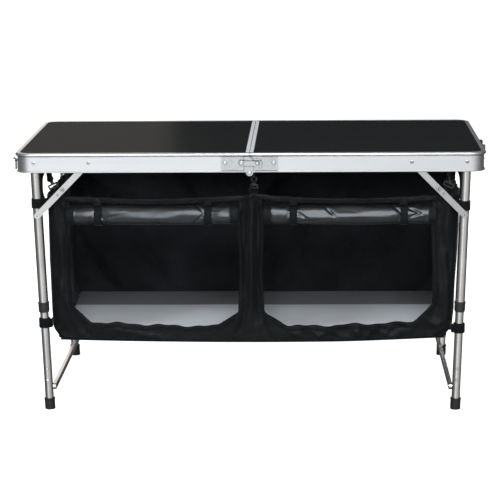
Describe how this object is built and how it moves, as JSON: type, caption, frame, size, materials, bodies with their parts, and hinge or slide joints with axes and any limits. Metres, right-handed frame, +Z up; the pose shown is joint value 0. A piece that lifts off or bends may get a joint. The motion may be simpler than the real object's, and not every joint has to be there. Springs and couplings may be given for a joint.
{
  "type": "camp kitchen table",
  "caption": "Folding aluminium camp kitchen table with a black split top, braced telescopic legs and a hanging fabric organiser with rolled-up doors.",
  "frame": {"origin": "on the floor under the middle of the table", "axes": "+X along the table to the right, front edge on -Y, +Z up"},
  "size_m": [1.237, 0.611, 0.68],
  "materials": {
    "rail_aluminium": "satin anodised, fine lines along the extrusion",
    "tube_aluminium": "satin anodised tube",
    "brace_aluminium": "satin flat bar",
    "top_laminate": "satin black laminate",
    "zinc_steel": "zinc plated, satin",
    "rivet_steel": "polished dome",
    "dark_steel": "dark nickel plated",
    "black_plastic": "moulded, fine texture",
    "black_rubber": "matt",
    "bag_fabric": "woven polyester",
    "door_vinyl": "glossy coated cloth, creased",
    "webbing": "woven polyester tape",
    "floor_cloth": "coated grey cloth over a board"
  },
  "bodies": {
    "left_top": {"left_rail": "rail_aluminium", "left_panel": "top_laminate", "left_seam_rail": "rail_aluminium", "left_hinge_leaves": "zinc_steel", "left_hinge_rivets": "rivet_steel", "left_rail_rivets": "rivet_steel", "left_end_brackets": "dark_steel", "left_hanger_tabs": "webbing", "left_hooks": "black_plastic", "left_front_wall": "bag_fabric", "left_back_wall": "bag_fabric", "left_end_wall": "bag_fabric", "centre_divider": "bag_fabric", "left_floor_board": "floor_cloth", "left_door_roll": "door_vinyl", "left_roll_straps": "webbing", "left_bag_webbing": "webbing", "left_leg_straps": "webbing"},
    "right_top": {"right_rail": "rail_aluminium", "right_panel": "top_laminate", "right_seam_rail": "rail_aluminium", "right_hinge_leaves": "zinc_steel", "right_hinge_rivets": "rivet_steel", "right_rail_rivets": "rivet_steel", "right_end_brackets": "dark_steel", "right_hanger_tabs": "webbing", "right_hooks": "black_plastic", "right_front_wall": "bag_fabric", "right_back_wall": "bag_fabric", "right_end_wall": "bag_fabric", "right_floor_board": "floor_cloth", "right_door_roll": "door_vinyl", "right_roll_straps": "webbing", "right_bag_webbing": "webbing", "right_leg_straps": "webbing"},
    "front_latch_arm": {"front_latch": "zinc_steel"},
    "rear_latch_arm": {"rear_latch": "zinc_steel"},
    "front_toggle_lever": {"front_toggle": "dark_steel"},
    "front_toggle_bail": {"front_bail": "dark_steel"},
    "rear_toggle_lever": {"rear_toggle": "dark_steel"},
    "rear_toggle_bail": {"rear_bail": "dark_steel"},
    "carry_handle": {"handle": "black_plastic"},
    "left_leg_frame": {"left_upper_legs": "tube_aluminium", "left_collars": "black_plastic", "left_link_rivets": "rivet_steel"},
    "left_lower_frame": {"left_lower_legs": "tube_aluminium", "left_crossbar": "tube_aluminium", "left_leg_buttons": "rivet_steel", "left_feet": "black_rubber"},
    "left_upper_brace": {"left_upper_links": "brace_aluminium"},
    "left_lower_brace": {"left_lower_links": "brace_aluminium"},
    "right_leg_frame": {"right_upper_legs": "tube_aluminium", "right_collars": "black_plastic", "right_link_rivets": "rivet_steel"},
    "right_lower_frame": {"right_lower_legs": "tube_aluminium", "right_crossbar": "tube_aluminium", "right_leg_buttons": "rivet_steel", "right_feet": "black_rubber"},
    "right_upper_brace": {"right_upper_links": "brace_aluminium"},
    "right_lower_brace": {"right_lower_links": "brace_aluminium"}
  },
  "joints": [
    {"name": "top_fold", "type": "hinge", "parent": "left_top", "child": "right_top", "pos_m": [0, 0, 0.63], "axis": [0, 1, 0], "range_deg": [0, 75], "deforming": ["left_front_wall", "left_back_wall", "left_end_wall", "left_floor_board", "left_door_roll", "left_roll_straps", "left_bag_webbing", "centre_divider", "right_front_wall", "right_back_wall", "right_end_wall", "right_floor_board", "right_door_roll", "right_roll_straps", "right_bag_webbing"]},
    {"name": "front_latch_swing", "type": "hinge", "parent": "left_top", "child": "front_latch_arm", "pos_m": [-0.0207, -0.301, 0.655], "axis": [0, -1, 0], "range_deg": [0, 90.1]},
    {"name": "rear_latch_swing", "type": "hinge", "parent": "left_top", "child": "rear_latch_arm", "pos_m": [-0.0207, 0.301, 0.655], "axis": [0, -1, 0], "range_deg": [0, 90.1]},
    {"name": "handle_swing", "type": "hinge", "parent": "right_top", "child": "carry_handle", "pos_m": [0.612, 0, 0.655], "axis": [0, -1, 0], "range_deg": [0, 90]},
    {"name": "front_toggle_swing", "type": "hinge", "parent": "left_top", "child": "front_toggle_lever", "pos_m": [-0.601, -0.18, 0.641], "axis": [0, -1, 0], "range_deg": [0, 80]},
    {"name": "front_bail_swing", "type": "hinge", "parent": "front_toggle_lever", "child": "front_toggle_bail", "pos_m": [-0.6118, -0.18, 0.645], "axis": [0, 1, 0], "range_deg": [0, 80.1]},
    {"name": "rear_toggle_swing", "type": "hinge", "parent": "left_top", "child": "rear_toggle_lever", "pos_m": [-0.601, 0.18, 0.641], "axis": [0, -1, 0], "range_deg": [0, 80]},
    {"name": "rear_bail_swing", "type": "hinge", "parent": "rear_toggle_lever", "child": "rear_toggle_bail", "pos_m": [-0.6118, 0.18, 0.645], "axis": [0, 1, 0], "range_deg": [0, 80.1]},
    {"name": "left_leg_fold", "type": "hinge", "parent": "left_top", "child": "left_leg_frame", "pos_m": [-0.55, 0, 0.655], "axis": [0, -1, 0], "range_deg": [0, 88.25], "deforming": ["left_leg_straps"]},
    {"name": "left_leg_slide", "type": "slide", "parent": "left_leg_frame", "child": "left_lower_frame", "axis": [-0.0305, 0, 0.9995], "range_m": [0, 0.1251]},
    {"name": "left_upper_brace_swing", "type": "hinge", "parent": "left_top", "child": "left_upper_brace", "pos_m": [-0.41, 0, 0.655], "axis": [0, 1, 0], "range_deg": [0, 45.5]},
    {"name": "left_lower_brace_swing", "type": "hinge", "parent": "left_leg_frame", "child": "left_lower_brace", "pos_m": [-0.54579, 0, 0.51706], "axis": [0, -1, 0], "range_deg": [0, 46.35]},
    {"name": "right_leg_fold", "type": "hinge", "parent": "right_top", "child": "right_leg_frame", "pos_m": [0.55, 0, 0.655], "axis": [0, 1, 0], "range_deg": [0, 88.25], "deforming": ["right_leg_straps"]},
    {"name": "right_leg_slide", "type": "slide", "parent": "right_leg_frame", "child": "right_lower_frame", "axis": [0.0305, 0, 0.9995], "range_m": [0, 0.1251]},
    {"name": "right_upper_brace_swing", "type": "hinge", "parent": "right_top", "child": "right_upper_brace", "pos_m": [0.41, 0, 0.655], "axis": [0, -1, 0], "range_deg": [0, 45.5]},
    {"name": "right_lower_brace_swing", "type": "hinge", "parent": "right_leg_frame", "child": "right_lower_brace", "pos_m": [0.54579, 0, 0.51706], "axis": [0, 1, 0], "range_deg": [0, 46.35]}
  ],
  "couplings": [
    {"joint": "front_latch_swing", "follows": "top_fold", "ratio": 1.2},
    {"joint": "rear_latch_swing", "follows": "top_fold", "ratio": 1.2},
    {"joint": "front_bail_swing", "follows": "front_toggle_swing", "ratio": 1},
    {"joint": "rear_bail_swing", "follows": "rear_toggle_swing", "ratio": 1},
    {"joint": "left_leg_slide", "follows": "left_leg_fold", "m_per_rad": 0.081156},
    {"joint": "left_upper_brace_swing", "follows": "left_leg_fold", "ratio": 0.51501},
    {"joint": "left_lower_brace_swing", "follows": "left_leg_fold", "ratio": 0.52465},
    {"joint": "right_leg_slide", "follows": "right_leg_fold", "m_per_rad": 0.081156},
    {"joint": "right_upper_brace_swing", "follows": "right_leg_fold", "ratio": 0.51501},
    {"joint": "right_lower_brace_swing", "follows": "right_leg_fold", "ratio": 0.52465}
  ]
}
